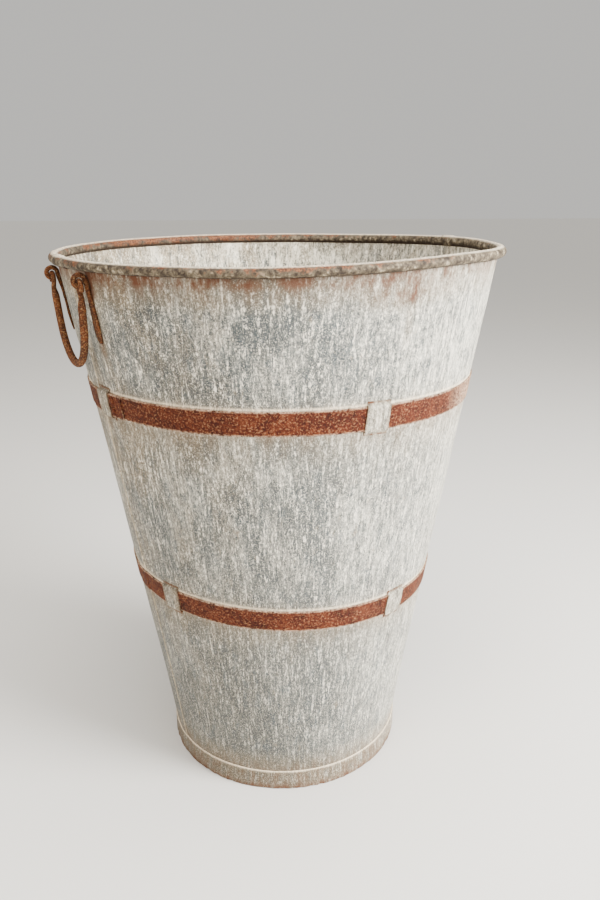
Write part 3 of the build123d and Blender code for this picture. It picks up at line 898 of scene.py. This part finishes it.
def forged(name, points, origin, across, along, finish, pitting, grain_size):
    """A bar swept along a flat path. Each point is x, y, half width, half thickness and squareness;
    x runs along across and y along along, from origin, and the width lies square to both."""
    path = flow(points, 1.1)
    across, along = Vector(across), Vector(along)
    flat = across.cross(along).normalized()
    heading = np.gradient(path[:, :2], axis=0)
    heading /= np.hypot(heading[:, 0], heading[:, 1])[:, None]
    number = 20
    verts = []
    for (x, y, half_w, half_t, power), (hx, hy) in zip(path, heading):
        centre = origin + across * x + along * y
        normal = across * hy - along * hx
        for k in range(number):
            turn = 2 * math.pi * k / number
            c, s = math.cos(turn), math.sin(turn)
            grow = (abs(c) ** power + abs(s) ** power) ** (-1 / power)
            point = centre + flat * (half_w * grow * c) + normal * (half_t * grow * s)
            rough = noise.noise(point / grain_size) + 0.5 * noise.noise(point * 2.3 / grain_size)
            inward = (point - centre).normalized() * (-pitting * (0.75 + 0.5 * rough))
            verts.append((point + inward) * MM)
    rings = len(path)
    faces = [(i * number + k, i * number + (k + 1) % number, (i + 1) * number + (k + 1) % number,
              (i + 1) * number + k) for i in range(rings - 1) for k in range(number)]
    for ring, step in ((0, 1.0), (rings - 1, -1.0)):
        tip = path[ring]
        hx, hy = heading[ring]
        push = 0.45 * min(tip[2], tip[3]) * step
        verts.append((origin + across * (tip[0] - hx * push) + along * (tip[1] - hy * push)) * MM)
        last = len(verts) - 1
        faces += [(ring * number + k, ring * number + (k + 1) % number, last) for k in range(number)]
    mesh = bpy.data.meshes.new(name)
    mesh.from_pydata([tuple(v) for v in verts], [], faces)
    mesh.materials.append(finish)
    piece = in_scene(name, mesh)
    close_up(piece, 60.0)
    return piece


def outward(azimuth):
    a = math.radians(azimuth)
    return Vector((math.sin(a), -math.cos(a), 0.0))


def wall_eye(name, azimuth, hinge_azimuth):
    """Forged strap riveted to the wall, its upper end rolled into an eye."""
    centre = wall_radius(eye_height) + eye_standoff
    up = Vector((0.0, 0.0, 1.0))
    foot = eye_height - 60.0
    # height above the foot, distance out from the wall, half width, half thickness and squareness
    outline = ((0, 0.9, 2.6, 0.8, 2.2), (3, 1.1, 4.2, 1.0, 2.8), (8, 1.3, 5.0, 1.25, 3.4),
               (15, 1.5, 4.9, 1.45, 4.0), (27, 1.5, 4.3, 1.45, 4.0), (38, 1.5, 3.6, 1.5, 3.6),
               (46, 1.8, 2.9, 1.8, 3.0), (52, 2.3, 2.6, 2.2, 2.4))
    points = [(wall_radius(foot + height) + off, foot + height, *bar) for height, off, *bar in outline]
    for turn in range(175, -111, -15):
        t = math.radians(turn)
        points.append((centre + ring_radius * math.cos(t), eye_height + ring_radius * math.sin(t),
                       rod_radius, rod_radius, 2.0))
    out = outward(azimuth)
    piece = forged(name, points, Vector((0.0, 0.0, 0.0)), out, up, handle_rust, 0.1, 3.0)
    # the ring stands square to the hinge, so the strap's upper end is twisted a little
    twist = math.radians(hinge_azimuth - azimuth)
    middle = out * centre
    for vertex in piece.data.vertices:
        height = vertex.co.z / MM
        share = float(smooth(np.array(height), eye_height - 14.0, eye_height - 4.0))
        turned_by = Matrix.Rotation(twist * share, 3, "Z")
        flat = vertex.co / MM - Vector((middle.x, middle.y, 0.0))
        vertex.co = (turned_by @ flat + Vector((middle.x, middle.y, 0.0))) * MM
    piece.data.update()
    return piece


def bail(name, side):
    """Round rod bent to a bow, drawn thinner to the ends and rolled there into eyes."""
    front_eye, back_eye = handle_eyes[side]
    azimuth = (front_eye + back_eye) / 2
    half = math.radians(abs(front_eye - back_eye) / 2)
    out = outward(azimuth)
    along = Vector((math.cos(math.radians(azimuth)), math.sin(math.radians(azimuth)), 0.0))
    ring_centre = wall_radius(eye_height) + eye_standoff
    hinge = out * (ring_centre * math.cos(half)) + Vector((0.0, 0.0, eye_height))
    reach = ring_centre * math.sin(half)
    lean = math.radians(2.0)
    down = (Vector((0.0, 0.0, -1.0)) * math.cos(lean) - out * math.sin(lean)).normalized()
    rod = 3.9
    bow_radius, bow_depth, bow_shift = 51.0, 35.2, 2.5
    neck = rod_radius + 0.1
    neck_length = 13.0

    def eye(way):
        """From the tip of the rolled end round to the neck, for the eye on one side."""
        points = []
        for turn in range(52, 331, 14):
            t = math.radians(turn)
            aside = way * (reach + ring_radius * math.sin(t))
            points.append((aside, ring_radius + ring_radius * math.cos(t), rod_radius, rod_radius, 2.0))
        points.append((way * (reach - 0.6), 2 * ring_radius + 2.4, neck, neck, 2.0))
        points.append((way * (reach + 0.1), 2 * ring_radius + 6.0, neck + 0.3, neck + 0.3, 2.0))
        return points

    def leg(way):
        start = (way * reach, 2 * ring_radius)
        offset = (start[0] - bow_shift, start[1] - bow_depth)
        turn = math.acos(bow_radius / math.hypot(*offset))
        angle = math.atan2(offset[1], offset[0]) + way * turn
        touch = (bow_shift + bow_radius * math.cos(angle), bow_depth + bow_radius * math.sin(angle))
        run = math.hypot(touch[0] - start[0], touch[1] - start[1])
        points = []
        for share in (neck_length / run, 0.55, 0.8):
            radius = rod - 1.1 * (1 - min(1.0, share * run / neck_length))
            x = start[0] + (touch[0] - start[0]) * share
            y = start[1] + (touch[1] - start[1]) * share
            points.append((x, y, radius, radius, 2.0))
        return points, angle

    left_leg, left_angle = leg(-1)
    right_leg, right_angle = leg(1)
    if left_angle < 0:
        left_angle += 2 * math.pi
    bow = [(bow_shift + bow_radius * math.cos(t), bow_depth + bow_radius * math.sin(t), rod, rod, 2.0)
           for t in np.linspace(left_angle, right_angle, 15)]
    points = eye(-1) + left_leg + bow + right_leg[::-1] + eye(1)[::-1]
    return forged(name, points, hinge, along, down, handle_rust, 0.12, 4.0)


handle_pieces = {}
for side, (front_eye, back_eye) in handle_eyes.items():
    middle = (front_eye + back_eye) / 2
    handle_pieces[side] = (bail(f"{side}_bail_rod", side),
                           wall_eye(f"{side}_front_strap", front_eye, middle),
                           wall_eye(f"{side}_back_strap", back_eye, middle))


# ---- What each piece rides on and stands for
def stands_for(piece, body, slot, *nodes):
    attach(piece, body)
    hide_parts(*nodes)


stands_for(front, "bucket", "galvanised_wall", "front_wall_sheet")
stands_for(back, "bucket", "galvanised_wall", "back_wall_sheet")
stands_for(wire, "bucket", "rim_wire_iron", "rim_wire")
stands_for(band, "bucket", "galvanised_foot", "foot_band")
stands_for(upper_hoop, "bucket", "hoop_iron", "upper_hoop")
stands_for(lower_hoop, "bucket", "hoop_iron", "lower_hoop")
stands_for(rivet_piece, "bucket", "hoop_iron", "upper_hoop_rivets", "lower_hoop_rivets")
keepers = [f"{row}_keeper_{n}" for row in ("upper", "lower") for n in (1, 2, 3, 4)]
stands_for(clip_piece, "bucket", "galvanised_keeper", *keepers)
for side, (rod, front_strap, back_strap) in handle_pieces.items():
    stands_for(rod, f"{side}_handle", "handle_iron", f"{side}_bail")
    stands_for(front_strap, "bucket", "handle_iron", f"{side}_front_eye")
    stands_for(back_strap, "bucket", "handle_iron", f"{side}_back_eye")

for name, finish in (("base_disc", inner_zinc), ("left_eye_rivets", handle_rust),
                     ("right_eye_rivets", handle_rust)):
    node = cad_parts[name]
    node.data.materials.clear()
    node.data.materials.append(finish)

# ---- Floor, light and camera
floor_material, floor_tree = new_material("matt pale studio floor")
floor_finish = {"Base Color": linear("#D9D6D0"), "Roughness": 0.7}
floor_shader = add(floor_tree, "ShaderNodeBsdfPrincipled", floor_finish)
add(floor_tree, "ShaderNodeOutputMaterial", {"Surface": floor_shader})
floor_mesh = bpy.data.meshes.new("studio_floor")
reach = 60.0
corners = [(-reach, -reach, 0), (reach, -reach, 0), (reach, reach, 0), (-reach, reach, 0)]
floor_mesh.from_pydata(corners, [], [(0, 1, 2, 3)])
floor_mesh.materials.append(floor_material)
in_scene("studio_floor", floor_mesh)


def soft_light(name, place, size, power, warmth):
    data = bpy.data.lights.new(name, "AREA")
    data.shape = "DISK"
    data.size = size
    data.energy = power
    data.color = warmth
    lamp = in_scene(name, data)
    lamp.location = place
    lamp.rotation_euler = (Vector((0.0, 0.0, 0.33)) - Vector(place)).to_track_quat("-Z", "Y").to_euler()


soft_light("window from the right", (1.9, -0.9, 1.2), 1.2, 215.0, (1.0, 0.99, 0.97))
soft_light("fill from the left", (-1.6, -1.9, 1.3), 1.4, 36.0, (1.0, 0.93, 0.84))
soft_light("top light", (0.0, -0.5, 2.5), 1.5, 60.0, (1.0, 0.97, 0.93))

world = bpy.data.worlds.new("studio")
world.use_nodes = True
sky = world.node_tree
sky.nodes.clear()
sky_height = add(sky, "ShaderNodeSeparateXYZ", {0: add(sky, "ShaderNodeTexCoord").outputs["Generated"]})
overhead = strength(sky, (sky_height.outputs["Z"], 0.25, 0.8, 0.95, 1.4))
backing = add(sky, "ShaderNodeBackground", {"Color": linear("#DAD8D4"), "Strength": overhead})
add(sky, "ShaderNodeOutputWorld", {"Surface": backing})
bpy.context.scene.world = world

pitch, roll = 0.3115, -0.0047
forward = Vector((0.0, math.cos(pitch), -math.sin(pitch)))
level_right = Vector((1.0, 0.0, 0.0))
level_up = level_right.cross(forward)
right = level_right * math.cos(roll) + level_up * math.sin(roll)
up = level_up * math.cos(roll) - level_right * math.sin(roll)
camera_data = bpy.data.cameras.new("camera")
camera_data.sensor_fit = "VERTICAL"
camera_data.sensor_height = 36.0
camera_data.lens = 29.706
camera_data.clip_end = 200.0
camera = in_scene("camera", camera_data)
camera.location = (0.0226, -0.868, 0.6576)
camera.rotation_euler = Matrix((right, up, -forward)).transposed().to_euler()
bpy.context.scene.camera = camera
